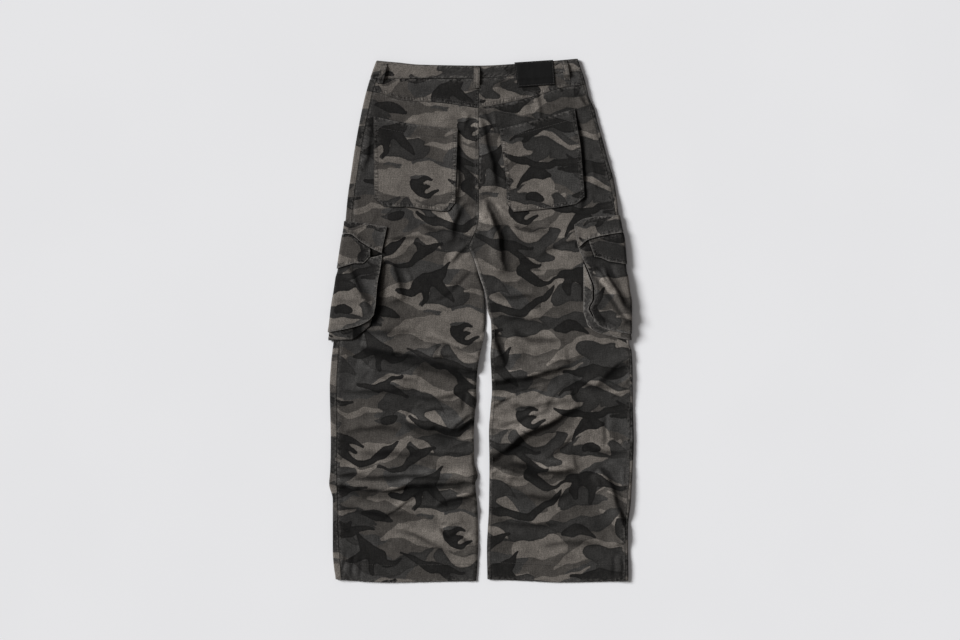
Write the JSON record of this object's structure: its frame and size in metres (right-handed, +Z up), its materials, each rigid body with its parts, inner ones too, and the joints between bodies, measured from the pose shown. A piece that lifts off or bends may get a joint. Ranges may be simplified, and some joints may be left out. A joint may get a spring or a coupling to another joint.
{
  "type": "cargo trousers",
  "caption": "Wide-leg camouflage twill cargo trousers laid flat with the back up: waistband, yokes, patch pockets, flapped cargo pockets and belt loops.",
  "frame": {"origin": "middle of the footprint, on the surface that the trousers lie on", "axes": "+Z up from the surface, +Y from the hems towards the waistband, +X towards the wearer's right leg, with the back of the trousers facing up"},
  "size_m": [0.6106, 1.0459, 0.0245],
  "materials": {
    "camo_twill": "washed cotton twill printed with a four-tone grey camouflage, matt",
    "patch_leather": "black grained leather, dull, blank",
    "button": "dark four-hole button, satin"
  },
  "bodies": {
    "root": {"waistband": "camo_twill", "yoke_left": "camo_twill", "yoke_right": "camo_twill", "back_leg_left": "camo_twill", "back_leg_right": "camo_twill", "front_leg_left": "camo_twill", "front_leg_right": "camo_twill", "back_pocket_left": "camo_twill", "back_pocket_right": "camo_twill", "cargo_header_left": "camo_twill", "cargo_flap_left": "camo_twill", "cargo_bag_left": "camo_twill", "cargo_gusset_left": "camo_twill", "cargo_header_right": "camo_twill", "cargo_flap_right": "camo_twill", "cargo_bag_right": "camo_twill", "cargo_gusset_right": "camo_twill", "belt_loop_back_left": "camo_twill", "belt_loop_back_centre": "camo_twill", "belt_loop_back_right": "camo_twill", "belt_loop_front_left": "camo_twill", "belt_loop_front_right": "camo_twill", "patch": "patch_leather", "waist_button": "button"}
  },
  "joints": []
}
